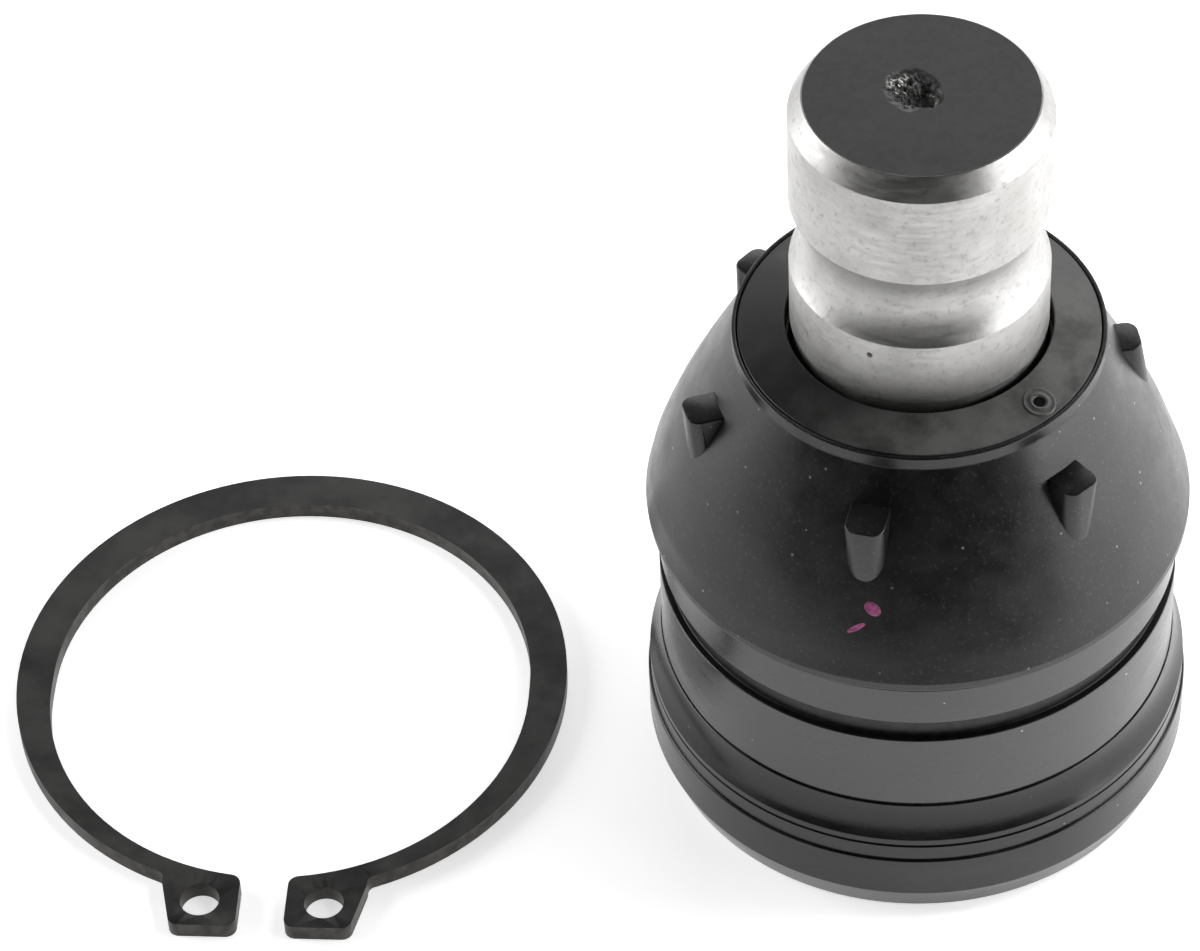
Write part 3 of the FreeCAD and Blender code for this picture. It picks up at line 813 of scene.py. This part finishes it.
def make_stud(materials):
    """The stud, with its ball, its pinch-bolt groove and its rough end."""
    corners, closed = half_section("ball_stud")
    if corners[0][1] > corners[-1][1]:
        corners.reverse()
    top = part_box("ball_stud")[1].z
    while corners[-1][1] < top - WELD_DISTANCE or corners[-1][0] < SCAR_FIELD:
        corners.pop()
    outline = soften(corners + [(0, top)], closed, STUD_CORNER)[:-1]
    rows = math.ceil(SCAR_FIELD / SCAR_ROW)
    outline += [(SCAR_FIELD * (rows - row) / rows, top) for row in range(rows + 1)]
    mesh = spin("stud", outline, closed, scar(top))
    pair = [materials["stud_steel"], materials["stud_end"]]
    piece = link("stud", mesh, "stud", pair)
    rim = corners[-1][0] - END_MARGIN
    for face in mesh.polygons:
        centre = face.center
        if centre.z > top - END_DEPTH and math.hypot(centre.x, centre.y) < rim:
            face.material_index = 1
    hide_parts("ball_stud")


def boot_shape(point):
    """The small unevenness of the real boot: a swell, a hollow and a slow waviness."""
    radius = math.hypot(point.x, point.y)
    azimuth = math.atan2(point.y, point.x)
    bulge = 0
    for amount, centre, spread, height, tall in SWELLS:
        away = (azimuth - centre + math.pi) % (2 * math.pi) - math.pi
        bulge += amount * math.exp(-((away / spread) ** 2) - ((point.z - height) / tall) ** 2)
    above_foot = clamped((point.z - BOOT_FOOT) / BOOT_FADE)
    below_neck = clamped((BOOT_NECK - point.z) / BOOT_FADE)
    wave = RUBBER_WAVE * noise.noise(point / RUBBER_WAVE_LENGTH)
    grown = (radius + above_foot * below_neck * (bulge + wave)) / radius
    return Vector((point.x * grown, point.y * grown, point.z))


def nub_ring(bm, root, reach, radius, height):
    """A nub's outline at a height, as points of its bmesh: straight sides and a rounded front."""
    half = NUB_WIDTH / 2
    turns = [step / NUB_ROUND_STEPS * math.pi / 2 for step in range(NUB_ROUND_STEPS + 1)]
    corner = [
        (reach - radius * (1 - math.sin(turn)), half - radius * (1 - math.cos(turn))) for turn in turns
    ]
    near = [(root, -half)] + [(x, -y) for x, y in corner]
    far = [(x, y) for x, y in reversed(corner)] + [(root, half)]
    return [bm.verts.new((x, y, height)) for x, y in near + far]


def make_nub(number):
    """One nub as a bmesh, turned to its place: a flat top over a front that leans inwards."""
    bm = bmesh.new()
    shift, outward, lift = NUB_SHIFTS[number]
    angle = NUB_AZIMUTH + 2 * math.pi * number / NUB_COUNT + shift
    foot = nub_ring(bm, NUB_FOOT_ROOT, NUB_FOOT_REACH, NUB_FOOT_ROUND, NUB_FOOT)
    top = nub_ring(bm, NUB_ROOT, NUB_REACH + outward, NUB_ROUND, NUB_TOP + lift)
    for corner in range(len(top)):
        after = (corner + 1) % len(top)
        bm.faces.new([foot[corner], foot[after], top[after], top[corner]])
    bm.faces.new(top)
    bm.faces.new(list(reversed(foot)))
    bmesh.ops.recalc_face_normals(bm, faces=bm.faces[:])
    rim = [edge for edge in bm.edges if all(v in top for v in edge.verts)]
    bmesh.ops.bevel(
        bm, geom=rim, offset=NUB_EDGE, segments=EDGE_SEGMENTS, profile=0.5, affect="EDGES"
    )
    mark_sharp(bm)
    bmesh.ops.transform(bm, matrix=Matrix.Rotation(angle, 4, "Z"), verts=bm.verts[:])
    return bm


def add_nubs(mesh):
    """Puts the nubs into the upper half of the boot."""
    bm = bmesh.new()
    bm.from_mesh(mesh)
    for number in range(NUB_COUNT):
        nub = make_nub(number)
        scratch = bpy.data.meshes.new("nub")
        nub.to_mesh(scratch)
        nub.free()
        bm.from_mesh(scratch)
        bpy.data.meshes.remove(scratch)
    bm.to_mesh(mesh)
    bm.free()


def make_boot(materials):
    """The boot in two halves, split at one height, with its paint."""
    corners, closed = half_section("dust_boot", BETWEEN_NUBS)
    halves = (
        ("boot_lower", False, "housing", "boot_swing", BOOT_FOOT, BOOT_SPLIT),
        ("boot_upper", True, "boot_swing", "boot_top", BOOT_SPLIT, BOOT_TURNED),
    )
    for name, above, low_body, high_body, start, end in halves:
        outline = clip(soften(corners, closed, BOOT_CORNER), BOOT_SPLIT, above)
        mesh = spin(name, refine(outline, BOOT_ROW), True, boot_shape)
        if above:
            add_nubs(mesh)
        piece = link(name, mesh, None, [materials["boot_rubber"]])
        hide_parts("dust_boot")
        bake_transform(piece)
    make_dabs(corners, materials)


def flank_radius(corners, height):
    """The boot's outer radius at a height, off its outline."""
    radii = []
    for number, corner in enumerate(corners):
        before = corners[number - 1]
        low, high = sorted((before, corner), key=lambda c: c[1])
        if low[1] < height <= high[1]:
            share = (height - low[1]) / (high[1] - low[1])
            radii.append(low[0] + (high[0] - low[0]) * share)
    return max(radii)


def off_flank(corners, azimuth, across, height, distance):
    """The point a distance off the boot's flank, at a height and a way across from an azimuth."""
    radius = flank_radius(corners, height)
    angle = azimuth + across / radius
    flank = boot_shape(Vector((radius * math.cos(angle), radius * math.sin(angle), height)))
    grown = 1 + distance / radius
    return Vector((flank.x * grown, flank.y * grown, flank.z))


def grid_faces(steps):
    """The faces of a square grid of points with this many steps each way."""
    row = steps + 1
    firsts = [y * row + x for y in range(steps) for x in range(steps)]
    return [(first, first + 1, first + row + 1, first + row) for first in firsts]


def make_dabs(corners, materials):
    """Thin dabs of paint that lie on the boot's flank, on its lower half."""
    sides = [2 * step / DAB_STEPS - 1 for step in range(DAB_STEPS + 1)]
    for name, azimuth, height, half_width, half_height, lean in DABS:
        verts = []
        for y in sides:
            for x in sides:
                across = x * math.sqrt(1 - y**2 / 2) * half_width
                up = y * math.sqrt(1 - x**2 / 2) * half_height
                disc = Vector((across, up))
                disc.rotate(Matrix.Rotation(lean, 2))
                edge = max(abs(x), abs(y))
                distance = PAINT_CLEARANCE + PAINT_THICKNESS * (1 - edge**4)
                verts.append(off_flank(corners, azimuth, disc.x, height + disc.y, distance))
        mesh = bpy.data.meshes.new("paint_" + name)
        mesh.from_pydata(verts, [], grid_faces(DAB_STEPS))
        piece = link("paint_" + name, mesh, None, [materials["paint"]])
        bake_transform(piece)


def soften_ring():
    """Rounds the stamped edges of the snap ring, which stays the CAD's own node."""
    ring = frame["nodes"]["snap_ring"]
    weld = ring.modifiers.new("weld", "WELD")
    weld.merge_threshold = WELD_DISTANCE
    bevel = ring.modifiers.new("edges", "BEVEL")
    bevel.width = RING_EDGE
    bevel.segments = EDGE_SEGMENTS
    bevel.limit_method = "ANGLE"
    bevel.angle_limit = SHARP_ANGLE
    normals = ring.modifiers.new("normals", "WEIGHTED_NORMAL")
    normals.weight = 100


def make_camera():
    """The camera at the photograph's place, tilted down and rolled a little."""
    data = bpy.data.cameras.new("camera")
    data.sensor_width = SENSOR_WIDTH
    data.lens = FOCAL_PIXELS * SENSOR_WIDTH / IMAGE_WIDTH
    data.clip_start, data.clip_end = CAMERA_CLIP
    camera = bpy.data.objects.new("camera", data)
    bpy.context.scene.collection.objects.link(camera)
    forward = Vector((0, math.cos(CAMERA_DIP), -math.sin(CAMERA_DIP)))
    level_right = Vector((1, 0, 0))
    level_up = level_right.cross(forward)
    right = level_right * math.cos(CAMERA_ROLL) + level_up * math.sin(CAMERA_ROLL)
    up = level_up * math.cos(CAMERA_ROLL) - level_right * math.sin(CAMERA_ROLL)
    turn = Matrix((right, up, -forward)).transposed()
    camera.matrix_world = Matrix.Translation(CAMERA_PLACE) @ turn.to_4x4()
    bpy.context.scene.camera = camera
    bpy.context.scene.view_settings.view_transform = "Standard"


def flat_sheet(name, low, high, height, material):
    """A level rectangle of the stage, from one corner to the other."""
    mesh = bpy.data.meshes.new(name)
    corners = [(low[0], low[1]), (high[0], low[1]), (high[0], high[1]), (low[0], high[1])]
    mesh.from_pydata([(x, y, height) for x, y in corners], [], [(0, 1, 2, 3)])
    mesh.materials.append(material)
    sheet = bpy.data.objects.new(name, mesh)
    bpy.context.scene.collection.objects.link(sheet)
    return sheet


def make_floor():
    """A pale floor that glows like a light table, more so far off, where no lamp reaches it."""
    look = Look("pale_floor")
    look.constants(Base_Color=(*grey(0.9), 1), Roughness=0.9, Specular_IOR_Level=0.0)
    look.constants(Emission_Color=(*grey(1.0), 1))
    glow = look.ramp(look.span_from((0, 0, 0)), *GLOW_DISTANCES, *FLOOR_GLOW)
    look.join(glow, look.shader.inputs["Emission Strength"])
    flat_sheet("floor", (-FLOOR_HALF, -FLOOR_HALF), (FLOOR_HALF, FLOOR_HALF), 0, look.material)


def make_card():
    """The black card in front, which is seen only in the object's gloss."""
    look = Look("black_card")
    look.constants(Base_Color=(*grey(0.01), 1), Roughness=0.9, Specular_IOR_Level=0.0)
    low = (-CARD_HALF_WIDTH, CARD_FAR)
    high = (CARD_HALF_WIDTH, CARD_NEAR)
    card = flat_sheet("card", low, high, CARD_HEIGHT, look.material)
    card.visible_camera = False
    card.visible_shadow = False


def make_lights():
    """The soft lamps, each a lit rectangle that points at its target."""
    for name, place, target, width, height, watts, in_gloss in LAMPS:
        data = bpy.data.lights.new(name, "AREA")
        data.shape = "RECTANGLE"
        data.size = width
        data.size_y = height
        data.energy = watts
        lamp = bpy.data.objects.new(name, data)
        bpy.context.scene.collection.objects.link(lamp)
        lamp.location = place
        lamp.rotation_euler = (Vector(target) - Vector(place)).to_track_quat("-Z", "Y").to_euler()
        lamp.visible_glossy = in_gloss


def make_world():
    """A room that is pale low down to the sides and behind, and darker in front.

    Its ceiling is dim, with a brighter patch overhead. Past the floor, the camera sees one even
    brightness instead.
    """
    world = bpy.data.worlds.new("room")
    world.use_nodes = True
    room = Tree(world.node_tree, "Generated")
    height = room.part(room.place, "Z")
    to_dark = room.along(Vector(DARK_SIDE).normalized())
    to_soft = room.along(Vector(SOFT_TOP).normalized())
    sides = room.math("MULTIPLY", room.ramp(height, *LOW_DOWN), room.ramp(to_dark, *BY_DARK_SIDE))
    above = room.math("ADD", room.ramp(to_soft, *BY_SOFT_TOP), room.ramp(height, *CEILING))
    seen = room.add("ShaderNodeMix")
    room.join(room.add("ShaderNodeLightPath").outputs["Is Camera Ray"], seen.inputs["Factor"])
    room.join(room.math("ADD", sides, above), seen.inputs["A"])
    seen.inputs["B"].default_value = BEHIND_FLOOR
    room.join(seen.outputs["Result"], room.tree.nodes["Background"].inputs["Strength"])
    bpy.context.scene.world = world


materials = make_materials()
finish_cad_nodes(materials)
make_body(materials)
make_collar(materials)
make_cover(materials)
make_stud(materials)
make_boot(materials)
make_pip(materials)
soften_ring()
make_camera()
make_floor()
make_card()
make_lights()
make_world()
